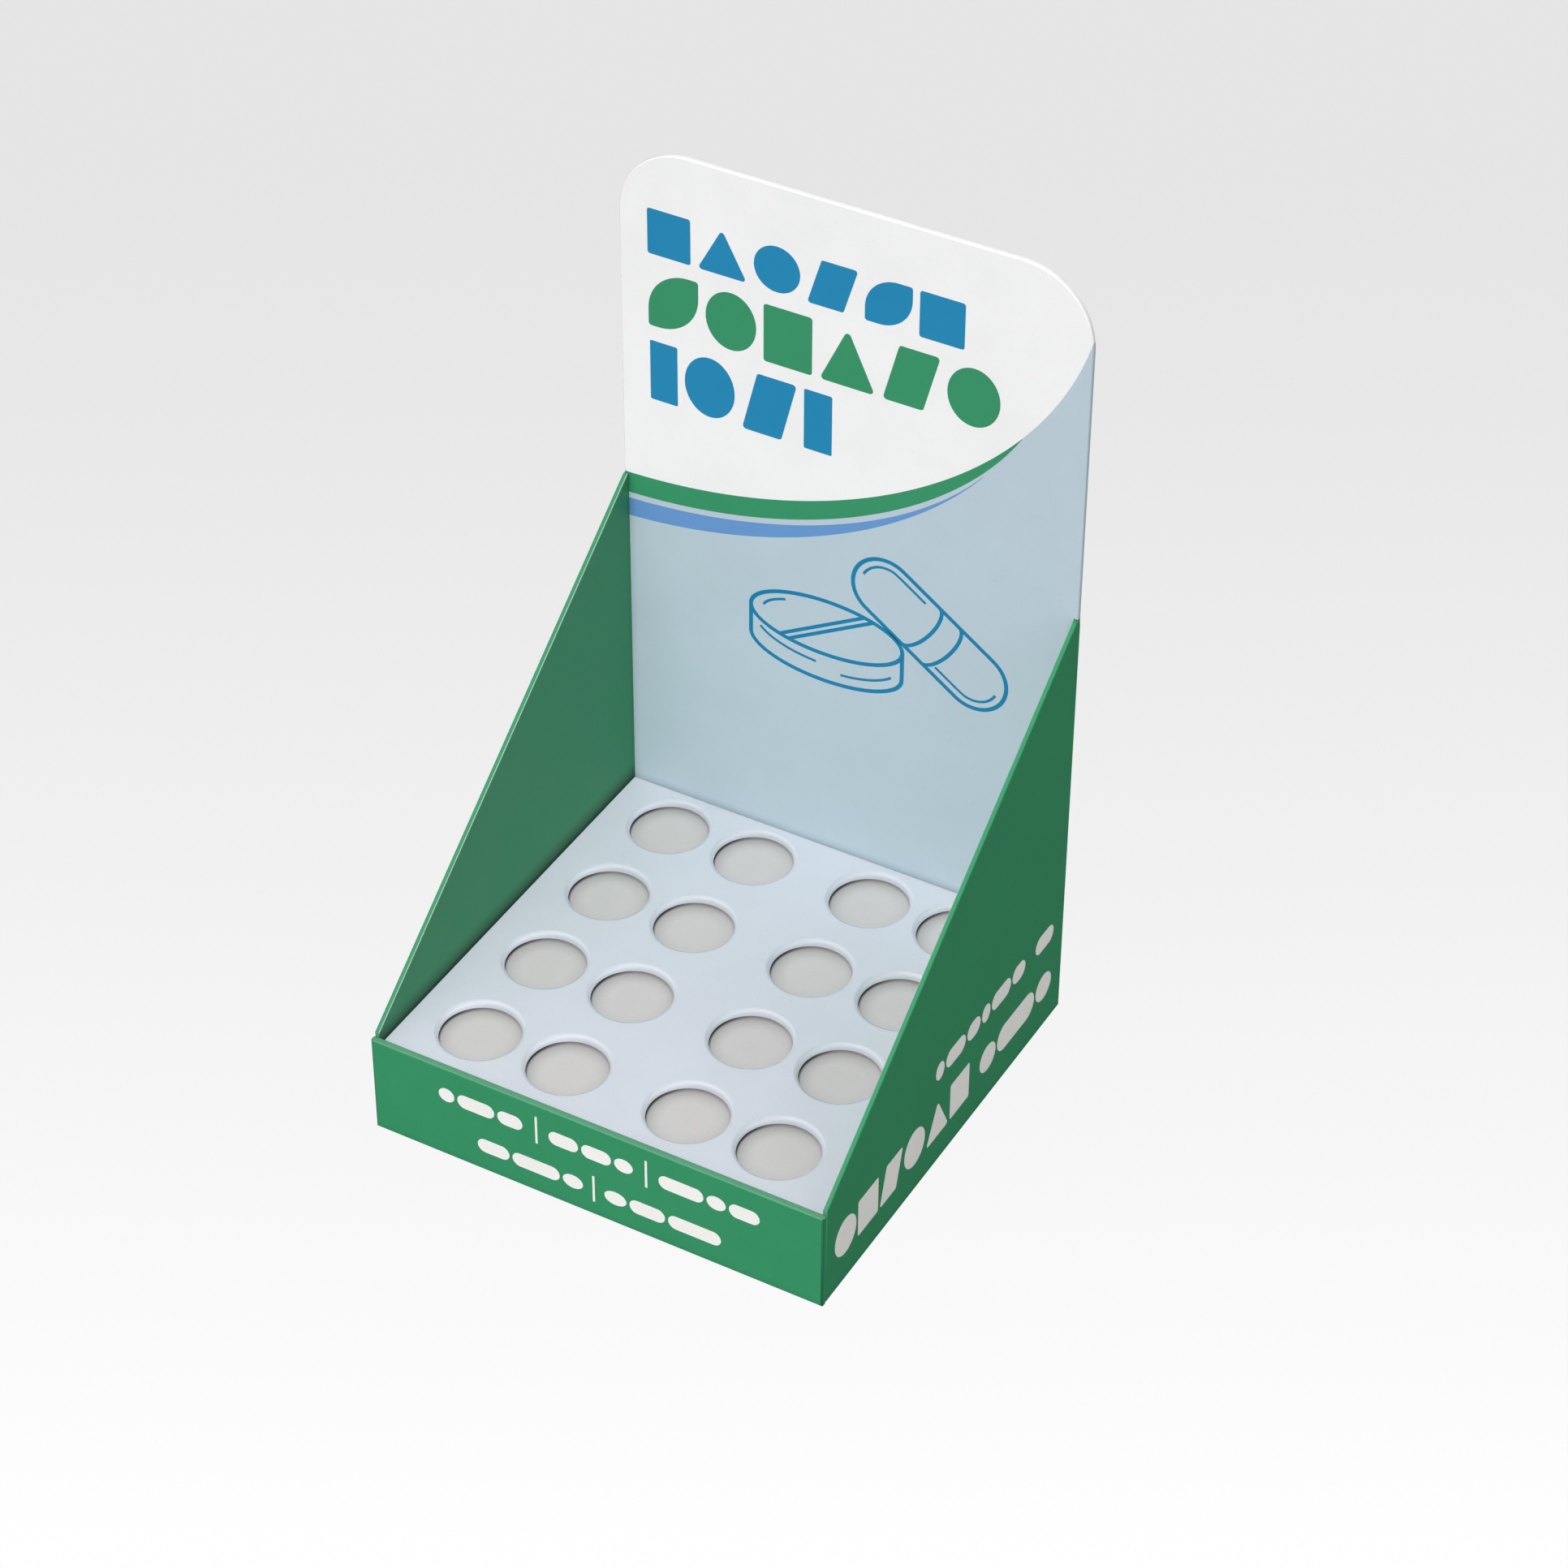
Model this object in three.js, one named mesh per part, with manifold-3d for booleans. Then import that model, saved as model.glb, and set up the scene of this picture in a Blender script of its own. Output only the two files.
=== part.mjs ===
// Counter display box of folded and glued board: an open tray with sloping sides and a
// tall rounded header, a die-cut deck with sixteen round wells, and a plain riser under it.
// Millimetres, +Z up, front towards -Y, origin at the middle of the underside.

import * as THREE from 'three';
import { mergeVertices } from 'three/addons/utils/BufferGeometryUtils.js';
import Module from 'manifold-3d';

const wasm = await Module();
wasm.setup();

// Tray: outer sizes
const width = 200;
const depth = 197.2;
const frontHeight = 45.4;
const sideFrontHeight = 44.8;
const sideRearHeight = 197.4;
const sideTopRadius = 2.6;

// Header: a continuation of the back wall
const headerHeight = 345.4;
const headerCornerRadius = 30;
const headerInset = 0.1;
const shoulderDrop = 7;

// Board: the walls are rolled over double, the base is a single ply
const baseBoard = 1.0;
const sideBoard = 2.0;
const frontBoard = 3.0;
const backBoard = 2.3;
const sideEdgeRadius = 0.5;
const frontEdgeRadius = 0.75;
const backEdgeRadius = 0.6;

// Lock tabs of the rolled walls, in slots of the base
const tabLength = 24;
const tabSpread = 92;
const tabRecess = 0.25;
const slotPlay = 0.4;

// Deck insert
const deckTop = 42;
const deckBoard = 3.3;
const deckBend = 1.2;
const deckEdgeRadius = 0.35;
const insertPlay = 0.4;

// Wells: two pairs of columns with a wider lane in the middle
const wellRadius = 16.4;
const wellRimRadius = 1.9;
const wellFootRadius = 0.4;
const pairPitch = 39.8;
const laneWidth = 53.7;
const rowPitch = 48;
const rows = 4;
const gridShiftX = -1.8;
const gridShiftY = 2.3;

// Riser: the plain board that closes the wells from below, a little under the deck
const riserGap = 0.7;
const riserBoard = 2.0;
const riserBend = 1.0;
const riserEdgeRadius = 0.3;

// Fineness of the curves
const wellSides = 32;
const cornerSteps = 12;
const bendSteps = 4;
const edgeSteps = 2;
const rimSteps = 3;

const palette = {
  green: new THREE.Color(0x3a9266),
  paleBlue: new THREE.Color(0xccd5df),
  grey: new THREE.Color(0xc9c9c9),
};

const X = new THREE.Vector3(1, 0, 0);
const Y = new THREE.Vector3(0, 1, 0);
const Z = new THREE.Vector3(0, 0, 1);

// A closed mesh as a manifold-3d solid
function solidOf(geometry) {
  const bare = geometry.clone();
  bare.deleteAttribute('normal');
  bare.deleteAttribute('uv');
  const merged = mergeVertices(bare, 1e-4);
  const vertProperties = new Float32Array(merged.attributes.position.array);
  const triVerts = new Uint32Array(merged.index.array);
  return new wasm.Manifold(new wasm.Mesh({ numProp: 3, vertProperties, triVerts }));
}

// A manifold-3d solid as a three.js geometry
function geometryOf(solid) {
  const mesh = solid.getMesh();
  const geometry = new THREE.BufferGeometry();
  geometry.setAttribute('position', new THREE.BufferAttribute(new Float32Array(mesh.vertProperties), 3));
  geometry.setIndex(new THREE.BufferAttribute(new Uint32Array(mesh.triVerts), 1));
  geometry.computeVertexNormals();
  return geometry;
}

function joined(solids) {
  return solids.reduce((sum, solid) => sum.add(solid));
}

// An outline through corners [u, v, radius], each corner rounded by an arc of its radius
function outline(corners, steps) {
  const shape = new THREE.Shape();
  const points = [];
  corners.forEach(([u, v, radius], i) => {
    const here = new THREE.Vector2(u, v);
    if (!radius) {
      points.push(here);
      return;
    }
    const [pu, pv] = corners[(i + corners.length - 1) % corners.length];
    const [nu, nv] = corners[(i + 1) % corners.length];
    const back = new THREE.Vector2(pu, pv).sub(here).normalize();
    const ahead = new THREE.Vector2(nu, nv).sub(here).normalize();
    const half = Math.acos(back.dot(ahead)) / 2;
    const centre = back.clone().add(ahead).normalize().multiplyScalar(radius / Math.sin(half)).add(here);
    const start = back.multiplyScalar(radius / Math.tan(half)).add(here).sub(centre);
    const end = ahead.multiplyScalar(radius / Math.tan(half)).add(here).sub(centre);
    const sweep = Math.atan2(start.cross(end), start.dot(end));
    for (let k = 0; k <= steps; k += 1) {
      points.push(start.clone().rotateAround(new THREE.Vector2(), (sweep * k) / steps).add(centre));
    }
  });
  shape.setFromPoints(points);
  return shape;
}

// A board: an outline in the plane of u and v, as thick as asked along u x v, edges rounded
function board(shape, thickness, edgeRadius, u, v, origin) {
  const rounded = edgeRadius > 0;
  const geometry = new THREE.ExtrudeGeometry(shape, {
    depth: thickness - 2 * edgeRadius,
    steps: 1,
    bevelEnabled: rounded,
    bevelThickness: edgeRadius,
    bevelSize: edgeRadius,
    bevelOffset: -edgeRadius,
    bevelSegments: edgeSteps,
  });
  geometry.translate(0, 0, edgeRadius);
  const w = new THREE.Vector3().crossVectors(u, v);
  geometry.applyMatrix4(new THREE.Matrix4().makeBasis(u, v, w).setPosition(origin));
  return solidOf(geometry);
}

function block(x0, x1, y0, y1, z0, z1) {
  const geometry = new THREE.BoxGeometry(x1 - x0, y1 - y0, z1 - z0);
  geometry.translate((x0 + x1) / 2, (y0 + y1) / 2, (z0 + z1) / 2);
  return solidOf(geometry);
}

// Places that the tray and its inserts share
const right = width / 2;
const rear = depth / 2;
const front = -depth / 2;
const innerRight = right - sideBoard;
const innerFront = front + frontBoard;
const innerRear = rear - backBoard;

// Side wall: low at the front wall, rising in one straight slope to a rounded rear top
function sideWall(side) {
  const rise = (sideRearHeight - sideFrontHeight) / depth;
  const startHeight = sideFrontHeight + rise * frontBoard;
  const shape = outline([
    [innerFront, 0, 0],
    [rear, 0, 0],
    [rear, sideRearHeight, sideTopRadius],
    [innerFront, startHeight, 0],
  ], bendSteps);
  const inner = side > 0 ? innerRight : -right;
  return board(shape, sideBoard, sideEdgeRadius, Y, Z, new THREE.Vector3(inner, 0, 0));
}

// Front wall: full width, rolled over at its top edge
function frontWall() {
  const shape = outline([
    [-right, 0, 0],
    [right, 0, 0],
    [right, frontHeight, 0],
    [-right, frontHeight, 0],
  ], bendSteps);
  return board(shape, frontBoard, frontEdgeRadius, X, Z, new THREE.Vector3(0, innerFront, 0));
}

// Back wall between the sides, with the full-width header above its shoulders
function backWall() {
  const shoulder = sideRearHeight - shoulderDrop;
  const waist = right - sideBoard / 2;
  const edge = right - headerInset;
  const shape = outline([
    [-waist, 0, 0],
    [waist, 0, 0],
    [waist, shoulder, 0],
    [edge, shoulder, 0],
    [edge, headerHeight, headerCornerRadius],
    [-edge, headerHeight, headerCornerRadius],
    [-edge, shoulder, 0],
    [-waist, shoulder, 0],
  ], cornerSteps);
  return board(shape, backBoard, backEdgeRadius, X, Z, new THREE.Vector3(0, rear, 0));
}

// Slots in the base for the lock tabs: a shallow mouth over the tab's end, and its play
function lockSlots() {
  const cuts = [];
  const half = tabLength / 2 + slotPlay;
  for (const at of [-tabSpread / 2, tabSpread / 2]) {
    for (const side of [-1, 1]) {
      const outer = side * (right - sideBoard / 2);
      const inner = side * innerRight;
      const edge = side * (innerRight - slotPlay);
      cuts.push(block(Math.min(outer, edge), Math.max(outer, edge), at - half, at + half, -1, tabRecess));
      cuts.push(block(Math.min(inner, edge), Math.max(inner, edge), at - half, at + half, -1, baseBoard + 1));
    }
    const edge = innerFront + slotPlay;
    cuts.push(block(at - half, at + half, front + frontBoard / 2, edge, -1, tabRecess));
    cuts.push(block(at - half, at + half, innerFront, edge, -1, baseBoard + 1));
  }
  return joined(cuts);
}

function carton() {
  const base = block(
    -right + sideBoard / 2, right - sideBoard / 2, front + frontBoard / 2, rear - backBoard / 2, 0, baseBoard,
  );
  const folded = joined([base, frontWall(), backWall(), sideWall(-1), sideWall(1)]);
  return folded.subtract(lockSlots());
}

// A folded bridge: a flat top with a leg bent down at each end, in the plane of u and Z
function bridge(halfSpan, top, thickness, bend, halfLength, edgeRadius, u, origin) {
  const inside = Math.max(bend - thickness, 0);
  const shape = outline([
    [-halfSpan, baseBoard, 0],
    [-halfSpan + thickness, baseBoard, 0],
    [-halfSpan + thickness, top - thickness, inside],
    [halfSpan - thickness, top - thickness, inside],
    [halfSpan - thickness, baseBoard, 0],
    [halfSpan, baseBoard, 0],
    [halfSpan, top, bend],
    [-halfSpan, top, bend],
  ], bendSteps);
  return board(shape, 2 * halfLength, edgeRadius, u, Z, origin);
}

// Centres of the wells
function wellCentres() {
  const columns = [
    -laneWidth / 2 - pairPitch,
    -laneWidth / 2,
    laneWidth / 2,
    laneWidth / 2 + pairPitch,
  ];
  const centres = [];
  for (let row = 0; row < rows; row += 1) {
    const y = gridShiftY + (row - (rows - 1) / 2) * rowPitch;
    columns.forEach((x) => centres.push([gridShiftX + x, y]));
  }
  return centres;
}

// The punch of one well: straight through the deck, opened out at the rim and the foot
function wellPunch(x, y) {
  const under = deckTop - deckBoard;
  const over = 1;
  const rim = wellRimRadius;
  const foot = wellFootRadius;
  const profile = [
    new THREE.Vector2(0, under - over),
    new THREE.Vector2(wellRadius + foot, under - over),
    new THREE.Vector2(wellRadius + foot, under),
    new THREE.Vector2(wellRadius, under + foot),
  ];
  for (let k = 0; k <= rimSteps; k += 1) {
    const turn = (k * Math.PI) / 2 / rimSteps;
    const radius = wellRadius + rim * (1 - Math.cos(turn));
    profile.push(new THREE.Vector2(radius, deckTop - rim * (1 - Math.sin(turn))));
  }
  profile.push(new THREE.Vector2(wellRadius + rim, deckTop + over));
  profile.push(new THREE.Vector2(0, deckTop + over));
  const geometry = new THREE.LatheGeometry(profile, wellSides);
  geometry.rotateX(Math.PI / 2);
  geometry.translate(x, y, 0);
  return solidOf(geometry);
}

function deckInsert() {
  const halfLength = innerRight - insertPlay;
  const middle = (innerFront + innerRear) / 2;
  const halfSpan = (innerRear - innerFront) / 2 - insertPlay;
  const origin = new THREE.Vector3(-halfLength, middle, 0);
  const folded = bridge(halfSpan, deckTop, deckBoard, deckBend, halfLength, deckEdgeRadius, Y, origin);
  return folded.subtract(joined(wellCentres().map(([x, y]) => wellPunch(x, y))));
}

function riser() {
  const halfSpan = innerRight - insertPlay;
  const middle = (innerFront + innerRear) / 2;
  const halfLength = (innerRear - innerFront) / 2 - deckBoard - 2 * insertPlay;
  const origin = new THREE.Vector3(0, middle + halfLength, 0);
  const top = deckTop - deckBoard - riserGap;
  return bridge(halfSpan, top, riserBoard, riserBend, halfLength, riserEdgeRadius, X, origin);
}

function piece(name, solid, color, roughness) {
  const material = new THREE.MeshStandardMaterial({ color, roughness, metalness: 0 });
  const mesh = new THREE.Mesh(geometryOf(solid), material);
  mesh.name = name;
  return mesh;
}

const displayBox = new THREE.Group();
displayBox.add(piece('carton', carton(), palette.green, 0.5));
displayBox.add(piece('deck_insert', deckInsert(), palette.paleBlue, 0.6));
displayBox.add(piece('riser', riser(), palette.grey, 0.8));

export default displayBox;
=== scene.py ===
"""Looks of the counter display box: a printed folded tray, its die-cut deck and the riser under it.

Everything is in metres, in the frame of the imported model: +Z up, the front towards -Y, the origin
at the middle of the underside. Sizes are written in millimetres and turned to metres by MM.
"""

from __future__ import annotations

import logging
import math
from dataclasses import dataclass
from enum import Enum

import bpy
import numpy as np
from mathutils import Matrix, Vector

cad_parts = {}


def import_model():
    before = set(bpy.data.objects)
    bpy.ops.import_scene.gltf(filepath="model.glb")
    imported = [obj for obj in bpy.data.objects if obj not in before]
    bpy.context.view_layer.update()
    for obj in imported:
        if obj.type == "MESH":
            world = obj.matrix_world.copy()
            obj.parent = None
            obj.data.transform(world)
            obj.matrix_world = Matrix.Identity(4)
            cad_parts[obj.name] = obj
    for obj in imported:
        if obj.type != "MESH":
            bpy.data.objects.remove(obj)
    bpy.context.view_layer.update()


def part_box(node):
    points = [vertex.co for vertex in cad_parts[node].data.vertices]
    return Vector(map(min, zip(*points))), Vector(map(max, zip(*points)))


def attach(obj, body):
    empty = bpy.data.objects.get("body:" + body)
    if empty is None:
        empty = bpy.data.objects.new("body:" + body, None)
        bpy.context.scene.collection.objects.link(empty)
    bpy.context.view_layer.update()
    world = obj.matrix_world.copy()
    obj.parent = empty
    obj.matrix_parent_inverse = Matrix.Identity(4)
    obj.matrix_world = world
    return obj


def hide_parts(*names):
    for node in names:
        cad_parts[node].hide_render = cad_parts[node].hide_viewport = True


LOG = logging.getLogger("display_box")
MM = 0.001
WHITE = (1.0, 1.0, 1.0, 1.0)

# Edges sharper than this, in degrees, stay sharp: in a new mesh and in a finished board.
NEW_EDGE = 35.0
BOARD_EDGE = 40.0

Array = np.ndarray


class Slot(Enum):
    """Material slots."""

    PRINTED = "printed_board"
    DECK = "deck_board"
    PLAIN = "plain_board"


class Plane(Enum):
    """Planes of the box, as the axes that an outline's first and second number run along."""

    FRONT = (0, 2)
    SIDE = (1, 2)


# Shader maths


class Socket:
    """A shader value that builds Math nodes when it is used in an expression."""

    def __init__(self, shader: "Shader", link: object) -> None:
        """Wraps a node's output socket in a shader's node tree."""
        self.shader = shader
        self.link = link

    def math(self, operation: str, *others: "Socket | float") -> "Socket":
        """Result of a Math node's operation on this value and the others."""
        inputs = dict(enumerate((self, *others)))
        return self.shader.node("ShaderNodeMath", 0, {"operation": operation}, inputs)

    def __add__(self, other: "Socket | float") -> "Socket":
        """Sum."""
        return self.math("ADD", other)

    __radd__ = __add__

    def __sub__(self, other: "Socket | float") -> "Socket":
        """Difference."""
        return self.math("SUBTRACT", other)

    def __rsub__(self, other: float) -> "Socket":
        """Difference from a number."""
        return (self * -1.0) + other

    def __mul__(self, other: "Socket | float") -> "Socket":
        """Product."""
        return self.math("MULTIPLY", other)

    __rmul__ = __mul__

    def __truediv__(self, other: "Socket | float") -> "Socket":
        """Quotient."""
        return self.math("DIVIDE", other)

    def __gt__(self, other: "Socket | float") -> "Socket":
        """1 where this is larger, else 0."""
        return self.math("GREATER_THAN", other)

    def __lt__(self, other: "Socket | float") -> "Socket":
        """1 where this is smaller, else 0."""
        return self.math("LESS_THAN", other)

    def __abs__(self) -> "Socket":
        """Size without its sign."""
        return self.math("ABSOLUTE")

    def smooth(self, low: float, high: float) -> "Socket":
        """Smooth step from 0 at low to 1 at high."""
        settings, ends = {"interpolation_type": "SMOOTHSTEP"}, {"From_Min": low, "From_Max": high}
        return self.shader.node("ShaderNodeMapRange", "Result", settings, Value=self, **ends)


class Shader:
    """The node tree of a material or of the world, with one method that adds any node."""

    def __init__(self, block: bpy.types.Material | bpy.types.World) -> None:
        """Takes a block's node tree and empties it.

        Args:
            block: the material or the world.
        """
        block.use_nodes = True
        self.block = block
        self.tree = block.node_tree
        self.tree.nodes.clear()

    def node(
        self,
        kind: str,
        out: str | int = 0,
        settings: dict[str, object] | None = None,
        numbered: dict[int, object] | None = None,
        **named: object,
    ) -> Socket:
        """Adds a node.

        Args:
            kind: the node's type.
            out: the output that is wanted.
            settings: the node's own settings, set first.
            numbered: values or links of its sockets by their number.
            named: values or links of its sockets by name, with _ for a space in the name.

        Returns:
            The output socket.
        """
        node = self.tree.nodes.new(kind)
        for key, value in (settings or {}).items():
            setattr(node, key, value)
        inputs: dict[str | int, object] = {name.replace("_", " "): value for name, value in named.items()}
        for key, value in {**(numbered or {}), **inputs}.items():
            if isinstance(value, Socket):
                self.tree.links.new(value.link, node.inputs[key])
            else:
                node.inputs[key].default_value = value
        return Socket(self, node.outputs[out])

    def place(self) -> tuple[Socket, Socket, Socket, Socket]:
        """Object coordinates: the vector and its X, Y and Z."""
        vector = self.node("ShaderNodeTexCoord", "Object")
        return vector, *(self.node("ShaderNodeSeparateXYZ", axis, Vector=vector) for axis in range(3))

    def noise(self, vector: Socket, scale: float, detail: float = 2.0, roughness: float = 0.5) -> Socket:
        """Noise, about 0.5 on average, of a scale in cells per metre, with its octaves and their weight."""
        settings = {"Scale": scale, "Detail": detail, "Roughness": roughness}
        return self.node("ShaderNodeTexNoise", "Fac", Vector=vector, **settings)

    def mix(self, factor: Socket | float, first: object, second: object) -> Socket:
        """Colour that runs from the first colour or link at factor 0 to the second at factor 1."""
        inputs = {0: factor, 6: first, 7: second}
        return self.node("ShaderNodeMix", 2, {"data_type": "RGBA"}, inputs)

    def scaled(self, color: object, factor: Socket | float) -> Socket:
        """Colour or link whose parts are multiplied by a factor."""
        start = color[:3] if isinstance(color, tuple) else color
        return self.node("ShaderNodeVectorMath", 0, {"operation": "SCALE"}, {0: start}, Scale=factor)

    def bump(self, height: Socket, distance: float, strength: float) -> Socket:
        """Normal bent by a height of 0 to 1, whose full depth is a distance in metres."""
        return self.node("ShaderNodeBump", "Normal", Height=height, Distance=distance, Strength=strength)

    def blend(self, factor: Socket, first: Socket, second: Socket) -> Socket:
        """Surface that runs from the first at factor 0 to the second at factor 1."""
        return self.node("ShaderNodeMixShader", 0, None, {0: factor, 1: first, 2: second})

    def finish(self, surface: Socket) -> bpy.types.Material | bpy.types.World:
        """Links the surface to an output node.

        Args:
            surface: the surface to show.

        Returns:
            The finished material or world.
        """
        kind = "World" if isinstance(self.block, bpy.types.World) else "Material"
        output = self.tree.nodes.new(f"ShaderNodeOutput{kind}")
        self.tree.links.new(surface.link, output.inputs["Surface"])
        return self.block


def linear(red: int, green: int, blue: int) -> tuple[float, float, float, float]:
    """Screen colour as the linear colour that a socket takes.

    Args:
        red: red, 0 to 255.
        green: green, 0 to 255.
        blue: blue, 0 to 255.

    Returns:
        Linear red, green, blue and alpha.
    """
    def line(value: int) -> float:
        """One part of the colour, by the curve of standard screens."""
        part = value / 255.0
        return part / 12.92 if part <= 0.04045 else ((part + 0.055) / 1.055) ** 2.4

    return line(red), line(green), line(blue), 1.0


# Inks and boards


@dataclass(frozen=True)
class Palette:
    """Colours of the inks and boards, as they would be under even light."""

    green: tuple = linear(53, 145, 100)
    ground: tuple = linear(183, 200, 210)
    white: tuple = linear(240, 240, 240)
    title_blue: tuple = linear(33, 133, 179)
    title_green: tuple = linear(55, 145, 102)
    band_blue: tuple = linear(102, 149, 205)
    line_blue: tuple = linear(18, 125, 169)
    lettering: tuple = linear(243, 242, 238)
    deck: tuple = linear(210, 215, 224)
    plain: tuple = linear(204, 201, 200)


@dataclass(frozen=True)
class BoardSurface:
    """Varnished board: fine fibre, a faint cloudiness of the ink, a few specks, and painted shade in nooks
    from an ambient occlusion node.
    """

    roughness: float = 0.46
    fibre_scale: float = 2600.0
    fibre_depth: float = 0.02 * MM
    fibre: float = 0.05
    cloud_scale: float = 38.0
    cloud: float = 0.10
    speck_scale: float = 520.0
    speck: float = 0.05
    grain: float = 3.0
    gloss: float = 0.22
    nook_shade: float = 0.6
    nook_shade_reach: float = 3.5 * MM
    nook_shade_samples: int = 12
    speck_edge: tuple[float, float] = (0.71, 0.78)
    cloud_height: float = 2.0
    relief: float = 0.5
    cloud_gloss: float = 0.16

    def dress(self, shader: Shader, vector: Socket, color: Socket | tuple) -> Socket:
        """Adds the board's texture and its painted nook shade to a print colour.

        Args:
            shader: the material in the making.
            vector: object coordinates.
            color: the print colour.

        Returns:
            The surface shader.
        """
        fibre = shader.noise(vector, self.fibre_scale, 3.0, 0.6)
        cloud = shader.noise(vector, self.cloud_scale, 4.0, 0.6)
        grain = shader.noise(vector, self.speck_scale, 1.0)
        speck = grain.smooth(*self.speck_edge)
        # Painted shade: the ambient occlusion darkens the base colour in nooks and crevices.
        settings = {"samples": self.nook_shade_samples}
        nook_shade = shader.node("ShaderNodeAmbientOcclusion", "AO", settings, Distance=self.nook_shade_reach)
        shade = (cloud - 0.5) * self.cloud + (fibre - 0.5) * self.fibre + 1.0
        light = shade * (1.0 - speck * self.speck) * (nook_shade * self.nook_shade + (1.0 - self.nook_shade))
        height = fibre + cloud * self.cloud_height + grain * self.grain
        normal = shader.bump(height, self.fibre_depth, self.relief)
        return shader.node(
            "ShaderNodeBsdfPrincipled",
            "BSDF",
            Base_Color=shader.scaled(color, light),
            Roughness=(cloud - 0.5) * self.cloud_gloss + self.roughness,
            Specular_IOR_Level=self.gloss,
            Normal=normal,
        )


@dataclass(frozen=True)
class InkFinish:
    """One flat ink on the board."""

    name: str
    color: tuple
    surface: BoardSurface = BoardSurface()

    def material(self) -> bpy.types.Material:
        """Makes the ink's material.

        Returns:
            The material.
        """
        shader = Shader(bpy.data.materials.new(self.name))
        vector = shader.place()[0]
        return shader.finish(self.surface.dress(shader, vector, self.color))


# Meshes


@dataclass
class Mesh:
    """Points and faces of a surface in the making."""

    points: Array
    faces: list[list[int]]

    def raised(self, height: float) -> "Mesh":
        """The surface, lifted by a height."""
        return Mesh(self.points + np.array([0, 0, height]), self.faces)

    def object(self, name: str) -> bpy.types.Object:
        """Makes a Blender object of the surface.

        Args:
            name: the object's name.

        Returns:
            The object, linked to the scene.
        """
        data = bpy.data.meshes.new(name)
        data.from_pydata(self.points.tolist(), [], self.faces)
        data.validate()
        data.update()
        shade_smooth(data, NEW_EDGE)
        thing = bpy.data.objects.new(name, data)
        bpy.context.scene.collection.objects.link(thing)
        return thing


def shade_smooth(data: bpy.types.Mesh, sharp: float) -> None:
    """Shades a mesh smooth, apart from edges sharper than an angle in degrees."""
    data.polygons.foreach_set("use_smooth", np.ones(len(data.polygons), dtype=bool))
    data.set_sharp_from_angle(angle=math.radians(sharp))


def grid_faces(rows: int, columns: int, around: bool = False) -> Array:
    """Quads of a grid whose point i, j has the number i * columns + j.

    Args:
        rows: points along the first parameter.
        columns: points along the second.
        around: whether the last column joins the first.

    Returns:
        One row of four point numbers per quad.
    """
    i = np.arange(rows - 1)[:, None]
    j = np.arange(columns if around else columns - 1)[None, :]
    k = (j + 1) % columns
    a, b = i * columns + j, i * columns + k
    return np.stack([a, b, b + columns, a + columns], -1).reshape(-1, 4)


def rectangle(
    left: float, low: float, right: float, high: float, *radii: float
) -> list[tuple[float, float, float]]:
    """Corners of a rectangle with their radii.

    Args:
        left: its left edge.
        low: its lower edge.
        right: its right edge.
        high: its upper edge.
        radii: radii of the corners, taken in turn from the lower left; sharp ones if none is given.

    Returns:
        The corners, counterclockwise.
    """
    taken = radii or (0.0,)
    spots = (left, low), (right, low), (right, high), (left, high)
    return [(*spot, taken[i % len(taken)]) for i, spot in enumerate(spots)]


def rounded_outline(corners: list[tuple[float, float, float]], steps: int) -> Array:
    """Closed outline through corners, each rounded by an arc.

    The arc of a corner has its centre on the bisector, radius / sin(half the corner's angle) away.

    Args:
        corners: first coordinate, second coordinate and radius of each corner, counterclockwise.
        steps: segments of an arc.

    Returns:
        The outline's points, one row each.
    """
    points: list[Array] = []
    count = len(corners)
    for i, (u, v, radius) in enumerate(corners):
        here = np.array([u, v])
        if radius <= 0:
            points.append(here[None])
            continue
        back = np.array(corners[i - 1][:2]) - here
        ahead = np.array(corners[(i + 1) % count][:2]) - here
        back, ahead = back / np.linalg.norm(back), ahead / np.linalg.norm(ahead)
        half = math.acos(float(back @ ahead)) / 2
        bisector = (back + ahead) / np.linalg.norm(back + ahead)
        centre = here + bisector * radius / math.sin(half)
        start = here + back * radius / math.tan(half) - centre
        end = here + ahead * radius / math.tan(half) - centre
        sweep = math.atan2(start[0] * end[1] - start[1] * end[0], float(start @ end))
        angle = sweep * np.linspace(0, 1, steps + 1)
        turn = np.stack([np.cos(angle), -np.sin(angle), np.sin(angle), np.cos(angle)], -1).reshape(-1, 2, 2)
        points.append(turn @ start + centre)
    return np.concatenate(points)


def inset_directions(outline: Array) -> Array:
    """Inward miter direction of each point of a counterclockwise outline.

    It is the sum of the two edge normals over 1 + their product, so an inset of d moves every edge by d.

    Args:
        outline: the outline's points.

    Returns:
        One direction per point.
    """
    edge = np.roll(outline, -1, 0) - outline
    edge /= np.linalg.norm(edge, axis=1, keepdims=True)
    ahead = np.stack([-edge[:, 1], edge[:, 0]], -1)
    back = np.roll(ahead, 1, 0)
    return (ahead + back) / (1 + np.sum(ahead * back, 1, keepdims=True))


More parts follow.
